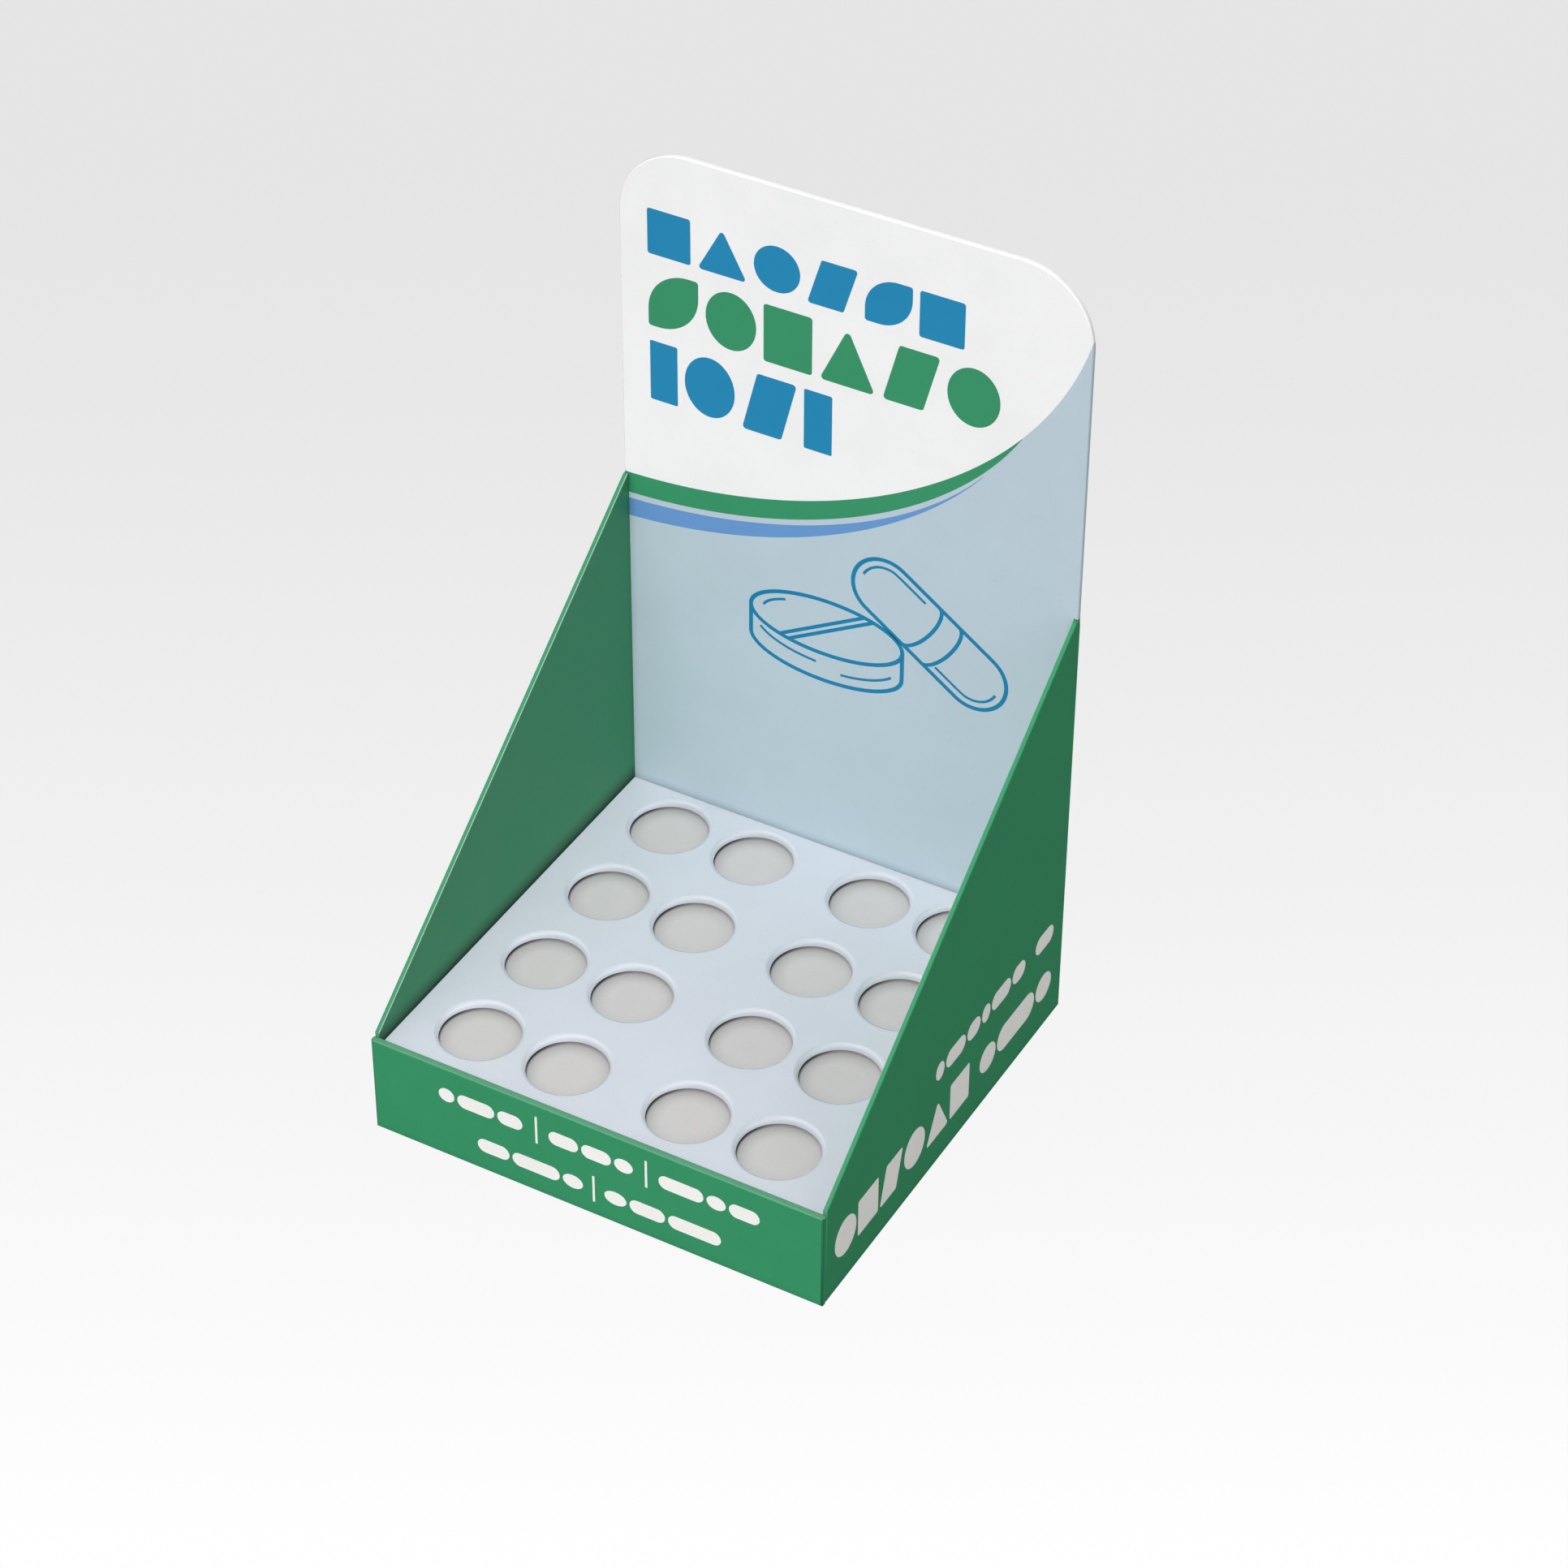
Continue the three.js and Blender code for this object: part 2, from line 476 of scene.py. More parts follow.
def slab(outline: Array, thickness: float, edge: float, steps: int = 5) -> Mesh:
    """A board with rounded edges: outline times edge profile, closed by two flat faces.

    The profile at angle a has the inset edge * (1 - sin a) and the height edge * (1 - cos a).

    Args:
        outline: counterclockwise outline.
        thickness: the board's thickness.
        edge: radius of its edges.
        steps: segments of a quarter round.

    Returns:
        The board, from height 0 to thickness.
    """
    angle = np.linspace(0, math.pi / 2, steps + 1)
    inset = edge * (1 - np.sin(angle))
    height = edge * (1 - np.cos(angle))
    inset = np.concatenate([inset, inset[::-1]])
    height = np.concatenate([height, thickness - height[::-1]])
    flat = outline[None] + inset[:, None, None] * inset_directions(outline)[None]
    tall = np.broadcast_to(height[:, None, None], (*flat.shape[:2], 1))
    points = np.concatenate([flat, tall], -1).reshape(-1, 3)
    rows, columns = flat.shape[:2]
    faces = grid_faces(rows, columns, around=True).tolist()
    faces.append(list(range(columns))[::-1])
    faces.append(list(range((rows - 1) * columns, rows * columns)))
    return Mesh(points, faces)


def lathe(profile: Array, centre: tuple[float, float], sides: int) -> Mesh:
    """A profile of radius and height turned round a vertical axis, closed by a disc at each end.

    Args:
        profile: radius and height of each point, upwards.
        centre: where the axis stands.
        sides: segments round the axis.

    Returns:
        The turned body.
    """
    angle = np.linspace(0, 2 * math.pi, sides, endpoint=False)
    circle = np.stack([np.cos(angle), np.sin(angle)], -1)
    flat = profile[:, :1, None] * circle[None] + np.array(centre)
    tall = np.broadcast_to(profile[:, 1:, None], (*flat.shape[:2], 1))
    points = np.concatenate([flat, tall], -1).reshape(-1, 3)
    faces = grid_faces(len(profile), sides, around=True).tolist()
    faces.append(list(range(sides))[::-1])
    faces.append(list(range((len(profile) - 1) * sides, len(profile) * sides)))
    return Mesh(points, faces)


def film(ribbon: Array, low: float, high: float, around: bool = False) -> Mesh:
    """A closed film over a grid of points, from height low to high.

    Args:
        ribbon: rows x columns x 2 grid of points, turning counterclockwise.
        low: height of its underside.
        high: height of its face.
        around: whether the last column joins the first.

    Returns:
        The film: the grid twice, with a rim along the grid's border.
    """
    rows, columns = ribbon.shape[:2]
    flat = ribbon.reshape(-1, 2)
    count = len(flat)
    under = np.column_stack([flat, np.full(count, low)])
    over = np.column_stack([flat, np.full(count, high)])
    quads = grid_faces(rows, columns, around)
    number = np.arange(count).reshape(rows, columns)
    if around:
        borders = [number[0], number[-1, ::-1]]
    else:
        borders = [np.concatenate([number[0, :-1], number[:-1, -1], number[-1, :0:-1], number[:0:-1, 0]])]
    rims = []
    for border in borders:
        ahead = np.roll(border, -1)
        rims.append(np.stack([border, ahead, ahead + count, border + count], -1))
    faces = np.concatenate([quads[:, ::-1], quads + count, *rims]).tolist()
    return Mesh(np.concatenate([under, over]), faces)


def stroke(path: Array, width: float, low: float, high: float, closed: bool = False) -> Mesh:
    """A line of even width along a path, as a film.

    Args:
        path: the path's points; a closed one doesn't repeat its first point.
        width: the line's width.
        low: height of its underside.
        high: height of its face.
        closed: whether the path runs back to its start.

    Returns:
        The line.
    """
    if closed:
        along = np.roll(path, -1, 0) - np.roll(path, 1, 0)
    else:
        along = np.gradient(path, axis=0)
    along /= np.linalg.norm(along, axis=1, keepdims=True)
    side = np.stack([-along[:, 1], along[:, 0]], -1) * width / 2
    return film(np.stack([path - side, path + side]), low, high, closed)


def ellipse(
    centre: tuple[float, float], axes: tuple[float, float], start: float, end: float, count: int
) -> Array:
    """Points of an ellipse between two angles in degrees: centre + (a cos t, b sin t)."""
    turn = np.radians(np.linspace(start, end, count))
    return np.stack([centre[0] + axes[0] * np.cos(turn), centre[1] + axes[1] * np.sin(turn)], -1)


def joined(meshes: list[Mesh]) -> Mesh:
    """Several surfaces as one.

    Args:
        meshes: the surfaces.

    Returns:
        One surface with all their points and faces.
    """
    points: list[Array] = []
    faces: list[list[int]] = []
    start = 0
    for mesh in meshes:
        points.append(mesh.points)
        faces.extend([[number + start for number in face] for face in mesh.faces])
        start += len(mesh.points)
    return Mesh(np.concatenate(points), faces)


def standing(mesh: Mesh, plane: Plane, towards: float, origin: tuple[float, float, float]) -> Mesh:
    """Stands a flat surface in a plane of the box.

    The matrix's columns are where the surface's axes go. Where it mirrors the surface, the faces are
    turned round.

    Args:
        mesh: the surface, drawn flat.
        plane: the plane.
        towards: 1 where the surface's height runs along the third axis, -1 where it runs against it.
        origin: where the surface's origin goes.

    Returns:
        The standing surface, its faces outwards.
    """
    first, second = plane.value
    matrix = np.zeros((3, 3))
    matrix[first, 0] = 1
    matrix[second, 1] = 1
    matrix[3 - first - second, 2] = towards
    faces = [face[::-1] for face in mesh.faces] if np.linalg.det(matrix) < 0 else mesh.faces
    return Mesh(mesh.points @ matrix.T + np.array(origin), faces)


def combined(base: bpy.types.Object, meshes: list[Mesh], operation: str) -> None:
    """Joins closed surfaces to a solid or cuts them out of it, exactly.

    Args:
        base: the solid that stays.
        meshes: the surfaces.
        operation: UNION or DIFFERENCE.
    """
    others = [mesh.object(f"other_{i}") for i, mesh in enumerate(meshes)]
    for other in others:
        step = base.modifiers.new("step", "BOOLEAN")
        step.operation = operation
        step.solver = "EXACT"
        step.object = other
    settle(base)
    for other in others:
        bpy.data.objects.remove(other)


def settle(thing: bpy.types.Object) -> None:
    """Makes a piece's modifiers part of its mesh.

    Args:
        thing: the piece.
    """
    bpy.context.view_layer.update()
    shape = thing.evaluated_get(bpy.context.evaluated_depsgraph_get())
    data = bpy.data.meshes.new_from_object(shape)
    thing.modifiers.clear()
    thing.data = data


def even_shading(thing: bpy.types.Object) -> None:
    """Keeps a finished board's wide flat faces flat beside its rounded edges.

    Args:
        thing: the board.
    """
    shade_smooth(thing.data, BOARD_EDGE)
    weigh = thing.modifiers.new("weigh", "WEIGHTED_NORMAL")
    weigh.keep_sharp = True
    weigh.weight = 100
    settle(thing)


def place_piece(thing: bpy.types.Object, material: bpy.types.Material, slot: Slot, *nodes: str) -> None:
    """Gives a piece its material and its place in the frame.

    Args:
        thing: the piece.
        material: its material.
        slot: a material slot; not used.
        nodes: the nodes that it stands for, if any.
    """
    thing.data.materials.clear()
    thing.data.materials.append(material)
    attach(thing, "root")
    if nodes:
        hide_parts(*nodes)
    LOG.info("%s: %d faces", thing.name, len(thing.data.polygons))


# The tray with its header


@dataclass
class Carton:
    """The folded tray: base, low front, sloping sides, and the back that runs on as the header."""

    width: float
    depth: float
    header_height: float
    deck_top: float
    front_height: float = 45.4 * MM
    side_front_height: float = 44.8 * MM
    side_rear_height: float = 197.4 * MM
    side_top_radius: float = 2.6 * MM
    header_radius: float = 30 * MM
    header_inset: float = 0.1 * MM
    shoulder_drop: float = 7 * MM
    base_board: float = 1.0 * MM
    side_board: float = 2.0 * MM
    front_board: float = 3.0 * MM
    back_board: float = 2.3 * MM
    side_edge: float = 0.5 * MM
    front_edge: float = 0.75 * MM
    back_edge: float = 0.6 * MM
    tab_length: float = 24 * MM
    tab_spread: float = 92 * MM
    tab_recess: float = 0.25 * MM
    slot_play: float = 0.4 * MM
    # Painted shade: darker corner folds, the tray's inner faces, the faces just above the deck, and the
    # ground towards the deck.
    fold_shade: float = 0.42
    inner_shade: float = 0.20
    ground_shade: float = 0.06
    ground_reach: float = 110 * MM
    seam_shade: float = 0.5
    seam_reach: float = 9 * MM
    # Painted highlights on the side walls' inner top edges and on the front wall's top rim.
    edge_highlight: float = 0.45
    front_rim_highlight: float = 0.08
    edge_highlight_width: float = 0.32 * MM
    edge_highlight_depth: float = 0.5 * MM
    edge_highlight_end: float = 0.1 * MM
    front_rim: float = 0.4 * MM
    face_reach: float = 0.05 * MM
    rear_reach: float = 0.03 * MM
    header_reach: float = 2.0 * MM
    # Strength of the painted nook shade on the tray.
    nook_shade: float = 0.3
    corner_steps: int = 8
    header_steps: int = 40

    @property
    def rise(self) -> float:
        """Slope of the side walls' upper edges."""
        return (self.side_rear_height - self.side_front_height) / self.depth

    @property
    def right(self) -> float:
        """Outer face of the right side wall."""
        return self.width / 2

    @property
    def rear(self) -> float:
        """Outer face of the back wall."""
        return self.depth / 2

    @property
    def inner_right(self) -> float:
        """Inner face of the right side wall."""
        return self.right - self.side_board

    @property
    def inner_front(self) -> float:
        """Inner face of the front wall."""
        return -self.rear + self.front_board

    @property
    def inner_rear(self) -> float:
        """Inner face of the back wall."""
        return self.rear - self.back_board

    @property
    def shoulder(self) -> float:
        """Height where the header widens over the sides."""
        return self.side_rear_height - self.shoulder_drop

    def side_wall(self, side: int) -> Mesh:
        """One side wall.

        Args:
            side: -1 for the left wall, 1 for the right.

        Returns:
            The wall.
        """
        start = self.side_front_height + self.rise * self.front_board
        outline = rounded_outline([
            (self.inner_front, 0, 0),
            (self.rear, 0, 0),
            (self.rear, self.side_rear_height, self.side_top_radius),
            (self.inner_front, start, 0),
        ], self.corner_steps)
        inner = self.inner_right if side > 0 else -self.right
        return standing(slab(outline, self.side_board, self.side_edge), Plane.SIDE, 1, (inner, 0, 0))

    def front_wall(self) -> Mesh:
        """The front wall, as wide as the tray.

        Returns:
            The wall.
        """
        outline = rounded_outline(rectangle(-self.right, 0, self.right, self.front_height), 1)
        board = slab(outline, self.front_board, self.front_edge)
        return standing(board, Plane.FRONT, -1, (0, self.inner_front, 0))

    def back_wall(self) -> Mesh:
        """The back wall between the sides, with the header above its shoulders.

        Returns:
            The wall with its header.
        """
        waist = self.right - self.side_board / 2
        edge = self.right - self.header_inset
        outline = rounded_outline([
            (-waist, 0, 0),
            (waist, 0, 0),
            (waist, self.shoulder, 0),
            (edge, self.shoulder, 0),
            (edge, self.header_height, self.header_radius),
            (-edge, self.header_height, self.header_radius),
            (-edge, self.shoulder, 0),
            (-waist, self.shoulder, 0),
        ], self.header_steps)
        board = slab(outline, self.back_board, self.back_edge)
        return standing(board, Plane.FRONT, -1, (0, self.rear, 0))

    def base_panel(self) -> Mesh:
        """The base, a single ply between the middles of the walls.

        Returns:
            The base.
        """
        x = self.right - self.side_board / 2
        front = -self.rear + self.front_board / 2
        rear = self.rear - self.back_board / 2
        return slab(rounded_outline(rectangle(-x, front, x, rear), 1), self.base_board, 0.0, 1)

    def lock_slots(self) -> list[Mesh]:
        """Slots of the base round the lock tabs: a mouth over the tab's end and its play.

        Returns:
            The solids to cut out of the base.
        """
        cuts: list[Mesh] = []
        half = self.tab_length / 2 + self.slot_play
        past = 1 * MM
        deep = self.base_board + past

        def cut(first: float, second: float, at: float, top: float, turned: bool) -> None:
            """Adds a slot to the cuts.

            Args:
                first: where it starts across the wall.
                second: where it ends across the wall.
                at: its middle along the wall.
                top: its height.
                turned: whether the wall runs along X.
            """
            low, high = min(first, second), max(first, second)
            box = rounded_outline(rectangle(low, at - half, high, at + half), 1)
            if turned:
                box = box[:, ::-1][::-1]
            cuts.append(slab(box, top + past, 0.0, 1).raised(-past))

        for at in (-self.tab_spread / 2, self.tab_spread / 2):
            for side in (-1, 1):
                outer = side * (self.right - self.side_board / 2)
                inner = side * self.inner_right
                edge = side * (self.inner_right - self.slot_play)
                cut(outer, edge, at, self.tab_recess, False)
                cut(inner, edge, at, deep, False)
            edge = self.inner_front + self.slot_play
            cut(-self.rear + self.front_board / 2, edge, at, self.tab_recess, True)
            cut(self.inner_front, edge, at, deep, True)
        return cuts

    def build(self, picture: "HeaderPicture") -> None:
        """Makes the folded tray as one closed piece.

        Args:
            picture: the print of the header, whose ground colours the board's edges.
        """
        shell = self.base_panel().object("carton_shell")
        walls = [self.front_wall(), self.back_wall(), self.side_wall(-1), self.side_wall(1)]
        combined(shell, walls, "UNION")
        combined(shell, self.lock_slots(), "DIFFERENCE")
        even_shading(shell)
        place_piece(shell, self.finish(picture), Slot.PRINTED, "carton")

    def finish(self, picture: "HeaderPicture") -> bpy.types.Material:
        """Green print all over, with the header's ground inside and on the header's edges; painted shade in
        the corner folds, nooks, the tray's inner faces and the ground's lower part, and painted highlights
        along top edges.

        Args:
            picture: the print of the header.

        Returns:
            The carton's material.
        """
        shader = Shader(bpy.data.materials.new("carton_print"))
        vector, x, y, z = shader.place()
        colors = Palette()
        reach = self.face_reach
        between = abs(x) < self.inner_right + reach
        above = abs(x) < self.right - self.header_inset / 2
        above = above * (z > self.side_rear_height - self.header_reach)
        inside = (y > self.inner_rear - reach) * (y < self.rear - self.rear_reach)
        is_header = between.math("MAXIMUM", above) * inside * (z > self.base_board * 2)
        across = (x - picture.white.centre[0]) / picture.white.axes[0]
        down = (z - picture.white.centre[1]) / picture.white.axes[1]
        is_white = (across * across + down * down) < 1.0
        ground = shader.mix(is_white, colors.ground, colors.white)
        # Painted shade: the vertical corner folds at the front and at the rear are darkened.
        ends = abs(x) > self.right - self.front_edge
        front_fold = ends * (y < self.front_edge - self.rear)
        rear_fold = (abs(x) > self.right - self.side_edge) * (y > self.rear - self.side_edge)
        fold = front_fold.math("MAXIMUM", rear_fold) * (z < self.side_rear_height)
        # Painted shade: the tray's inner faces are darker, most of all just above the deck.
        above_deck_shade = (1.0 - (z - self.deck_top).smooth(0.0, self.seam_reach)) * (1.0 - is_header)
        tray = between * (y > self.inner_front - reach) * (y < self.inner_rear + reach)
        inner = tray * (self.inner_shade + above_deck_shade * self.seam_shade) * (1.0 - is_header)
        # Painted shade: the back wall's print is darker towards the deck.
        low = 1.0 - (z - self.deck_top).smooth(0.0, self.ground_reach)
        ground = shader.scaled(ground, 1.0 - low * self.ground_shade)
        # Painted highlights: a paler line along the side walls' inner top edges and a paler rim on the front
        # wall's top.
        from_slope = z - (y + self.rear) * self.rise - self.side_front_height
        on_edge_highlight = (abs(x) < self.inner_right + self.edge_highlight_width) * (from_slope > -self.edge_highlight_depth)
        on_edge_highlight = on_edge_highlight * (y > self.inner_front + self.edge_highlight_end) * (y < self.inner_rear - self.edge_highlight_end)
        on_front = (z > self.front_height - self.front_rim) * (y < self.inner_front + reach)
        pale = (on_edge_highlight * self.edge_highlight).math("MAXIMUM", on_front * self.front_rim_highlight)
        green = shader.mix(pale, colors.green, colors.white)
        color = shader.mix(is_header, green, ground)
        # Painted shade from the corner folds and the tray's inner faces scales the colour.
        color = shader.scaled(color, (1.0 - fold * self.fold_shade) * (1.0 - inner))
        return shader.finish(BoardSurface(nook_shade=self.nook_shade).dress(shader, vector, color))


# The print on the header

# Shares of a shape's size: soft corners, a pill's ends, a leaf's round corners and the lean of a slant.
SOFT_CORNER = 0.06
PILL_END = 0.499
LEAF_ROUND = 0.7
SLANT = 0.28


class Shape(Enum):
    """Simple shapes of a printed row: width over height of the capital size, and share of that height."""

    BLOCK = ("B", 0.95, 1.0)
    SLAB = ("I", 0.55, 1.0)
    DISC = ("D", 1.0, 1.0)
    LEAF = ("Q", 1.0, 1.0)
    TRIANGLE = ("T", 1.08, 1.0)
    LEAN = ("L", 1.08, 1.0)
    PILL = ("P", 1.7, 0.72)
    SMALL_PILL = ("b", 1.15, 0.72)
    SMALL_DISC = ("d", 0.72, 0.72)
    RULE = ("|", 0.08, 1.0)

    def outline(self, x: float, z: float, width: float, height: float) -> Array:
        """The shape's outline, counterclockwise.

        Args:
            x: its left edge.
            z: its lower edge.
            width: its width.
            height: the height of the row's capitals.

        Returns:
            The outline's points.
        """
        tall = height * self.value[2]
        soft = SOFT_CORNER * min(width, tall)
        right, top = x + width, z + tall
        if self in (Shape.DISC, Shape.SMALL_DISC):
            return ellipse((x + width / 2, z + tall / 2), (width / 2, tall / 2), 0, 360, 49)[:-1]
        if self in (Shape.PILL, Shape.SMALL_PILL):
            return rounded_outline(rectangle(x, z, right, top, tall * PILL_END), 12)
        if self is Shape.LEAF:
            return rounded_outline(rectangle(x, z, right, top, soft, tall * LEAF_ROUND), 16)
        if self is Shape.TRIANGLE:
            corners = [(x, z, soft), (right, z, soft), (x + width / 2, top, soft)]
        elif self is Shape.LEAN:
            shift = width * SLANT
            corners = [(x, z, soft), (right - shift, z, soft), (right, top, soft), (x + shift, top, soft)]
        else:
            corners = rectangle(x, z, right, top, soft)
        return rounded_outline(corners, 4)


@dataclass(frozen=True)
class Row:
    """A printed row of simple shapes that fills a stretch from left to right."""

    shapes: str
    left: float
    right: float
    low: float
    high: float
    gap: float

    def film(self, under: float, over: float) -> Mesh:
        """The row as films, each shape's width scaled so that the row fills its stretch.

        Args:
            under: height of the films' undersides.
            over: height of their faces.

        Returns:
            The films.
        """
        known = {shape.value[0]: shape for shape in Shape}
        row = [known[letter] for letter in self.shapes]
        height = self.high - self.low
        widths = np.array([shape.value[1] * height for shape in row])
        widths *= (self.right - self.left - self.gap * (len(row) - 1)) / widths.sum()
        starts = self.left + np.concatenate([[0], np.cumsum(widths + self.gap)[:-1]])
        films = []
        for shape, x, width in zip(row, starts, widths):
            outline = shape.outline(float(x), self.low, float(width), height)
            films.append(slab(outline, over - under, 0.0, 1).raised(under))
        return joined(films)


@dataclass(frozen=True)
class Arc:
    """Lower right quarter of an ellipse in the header's plane."""

    centre: tuple[float, float]
    axes: tuple[float, float]

    def height(self, x: Array) -> Array:
        """Height over x: the centre's less the second axis times the root of 1 - ((x - centre) / axis)^2."""
        part = np.clip((x - self.centre[0]) / self.axes[0], -1, 1)
        return self.centre[1] - self.axes[1] * np.sqrt(1 - part * part)


@dataclass
class HeaderPicture:
    """Print of the header and the back wall: a white field, two swinging bands, rows and a drawing."""

    carton: Carton
    white: Arc = Arc((-104.3 * MM, 349.7 * MM), (208.1 * MM, 154.6 * MM))
    green_foot: Arc = Arc((-106.2 * MM, 319.7 * MM), (193.9 * MM, 134.2 * MM))
    blue_top: Arc = Arc((-109.5 * MM, 300.2 * MM), (187.9 * MM, 117.6 * MM))
    blue_foot: Arc = Arc((-113.1 * MM, 321.3 * MM), (198.5 * MM, 147.3 * MM))
    hairline: float = 0.3 * MM
    least_width: float = 0.02 * MM
    field_bend: float = 0.6
    sunk: float = 0.02 * MM
    proud: float = 0.03 * MM
    band_lift: float = 1.3
    side_lift: float = 1.1
    groove_lift: float = 1.2
    title: tuple = (
        Row("BTDLQB", -87.6 * MM, 48.0 * MM, 299.6 * MM, 319.6 * MM, 3.0 * MM),
        Row("QDBTLD", -87.6 * MM, 63.6 * MM, 267.4 * MM, 293.0 * MM, 3.2 * MM),
        Row("IDLI", -87.2 * MM, -7.0 * MM, 233.6 * MM, 260.6 * MM, 3.2 * MM),
    )
    tablet: tuple[float, float] = (-8.4 * MM, 151.4 * MM)
    tablet_axes: tuple[float, float] = (34.0 * MM, 13.0 * MM)
    tablet_height: float = 13.0 * MM
    groove: tuple[float, float] = (52.0, 60.0)
    groove_turn: float = 292.0
    tablet_glints: tuple = (
        (5.0 * MM, 0.93, 1.0, 200, 262, 30),
        (8.0 * MM, 0.95, 1.0, 282, 335, 30),
        (0.0, 0.84, 0.74, 130, 172, 24),
    )
    capsule: tuple = ((17.2 * MM, 179.2 * MM), (57.2 * MM, 151.0 * MM))
    capsule_radius: float = 14.0 * MM
    capsule_joint: tuple[float, float] = (0.40, 0.62)
    joint_bulge: float = 5.0 * MM
    capsule_glints: tuple = ((0.3, 0, 1, 100, 190), (0.72, 1, -1, -80, 10))
    glint_in: float = 0.74
    line: float = 1.8 * MM
    inner_line: float = 0.9
    detail: float = 0.65

    def tablet_lines(self) -> list[Mesh]:
        """A round scored tablet: its face, its side, the groove across it and its glints.

        Returns:
            The lines as films.
        """
        (x, z), (a, b) = self.tablet, self.tablet_axes
        low, high = -self.sunk, self.proud
        rim = ellipse((x, z), (a, b), 0, 360, 121)[:-1]
        foot = ellipse((x, z - self.tablet_height), (a, b), 180, 360, 80)
        side = np.concatenate([[[x - a, z]], foot, [[x + a, z]]])
        lines = [stroke(rim, self.line, low, high, True), stroke(side, self.line, low, high * self.side_lift)]
        for turn in self.groove:
            ends = [ellipse((x, z), (a, b), at, at, 1)[0] for at in (turn, self.groove_turn - turn)]
            path = np.linspace(*ends, 12)
            lines.append(stroke(path, self.line * self.inner_line, low, high * self.groove_lift))
        for drop, wide, deep, first, last, count in self.tablet_glints:
            glint = ellipse((x, z - drop), (a * wide, b * deep), first, last, count)
            lines.append(stroke(glint, self.line * self.detail, low, high))
        return lines

    def capsule_lines(self) -> list[Mesh]:
        """A capsule of two halves: its outline, the joint's band and two glints.

        Returns:
            The lines as films.
        """
        start, end = np.array(self.capsule[0]), np.array(self.capsule[1])
        low, high = -self.sunk, self.proud
        length = float(np.linalg.norm(end - start))
        along = (end - start) / length
        across = np.array([-along[1], along[0]])
        radius = self.capsule_radius

        def line(points: Array, width: float, face: float, closed: bool = False) -> Mesh:
            """A line through points that are given along and across the capsule."""
            path = start + points[:, :1] * along + points[:, 1:] * across
            return stroke(path, self.line * width, low, face, closed)

        ends = (length, -90), (0, 90)
        caps = [ellipse((at, 0), (radius, radius), turn, turn + 180, 40) for at, turn in ends]
        lines = [line(np.concatenate(caps), 1.0, high, True)]
        for share in self.capsule_joint:
            arc = ellipse((share * length, 0), (self.joint_bulge, radius), -90, 90, 30)
            lines.append(line(arc, self.inner_line, high * self.side_lift))
        inner = radius * self.glint_in
        for share, cap, side, first, last in self.capsule_glints:
            run = np.stack([np.linspace(share, cap, 8) * length, np.full(8, side * inner)], -1)
            turned = ellipse((cap * length, 0), (inner, inner), first, last, 24)
            lines.append(line(np.concatenate([run[:-1], turned]), self.detail, high))
        return lines

    def white_field(self) -> Mesh:
        """White field: the header's outline down to the arc, closer points towards its right edge.

        Returns:
            The field as a film.
        """
        carton = self.carton
        edge = carton.right - carton.header_inset - carton.back_edge
        top = carton.header_height - carton.back_edge
        radius = carton.header_radius - carton.back_edge
        bend = self.field_bend
        x = np.concatenate([
            np.linspace(-edge, edge * bend, 60),
            edge * (bend + (1 - bend) * np.sin(np.linspace(0, math.pi / 2, 60)))[1:],
        ])
        low = self.white.height(x)
        inside = np.clip(np.abs(x) - (edge - radius), 0, radius)
        high = top - radius + np.sqrt(radius * radius - inside * inside)
        return film(np.stack([np.stack([x, low], -1), np.stack([x, high], -1)]), -self.sunk, self.proud)

    def band(self, upper: Arc, lower: Arc) -> Mesh:
        """A band between two arcs, from the left wall to where they meet or come closest.

        Args:
            upper: its upper arc.
            lower: its lower arc.

        Returns:
            The band as a film.
        """
        x = np.linspace(0, self.carton.right, 4000)
        gap = upper.height(x) - lower.height(x)
        touching = gap < self.hairline
        end = x[np.argmax(touching)] if np.any(touching) else x[np.argmin(gap)]
        x = np.linspace(-self.carton.inner_right, float(end), 120)
        low = lower.height(x)
        high = np.maximum(upper.height(x), low + self.least_width)
        high_face = self.proud * self.band_lift
        return film(np.stack([np.stack([x, low], -1), np.stack([x, high], -1)]), -self.sunk, high_face)

    def build(self) -> None:
        """Makes the films of the header, each in its own ink."""
        colors = Palette()
        low, high = self.proud / 2, self.proud * 2
        first, second, third = (row.film(low, high) for row in self.title)
        films = (
            ("header_field", self.white_field(), "ink_white", colors.white),
            ("band_green", self.band(self.white, self.green_foot), "ink_green", colors.title_green),
            ("band_blue", self.band(self.blue_top, self.blue_foot), "ink_band_blue", colors.band_blue),
            ("title_blue", joined([first, third]), "ink_title_blue", colors.title_blue),
            ("title_green", second, "ink_title_green", colors.title_green),
            ("drawing", joined(self.tablet_lines() + self.capsule_lines()), "ink_line", colors.line_blue),
        )
        for name, mesh, ink, color in films:
            thing = standing(mesh, Plane.FRONT, -1, (0, self.carton.inner_rear, 0)).object(name)
            place_piece(thing, InkFinish(ink, color).material(), Slot.PRINTED)


# The print on the front and on the right side


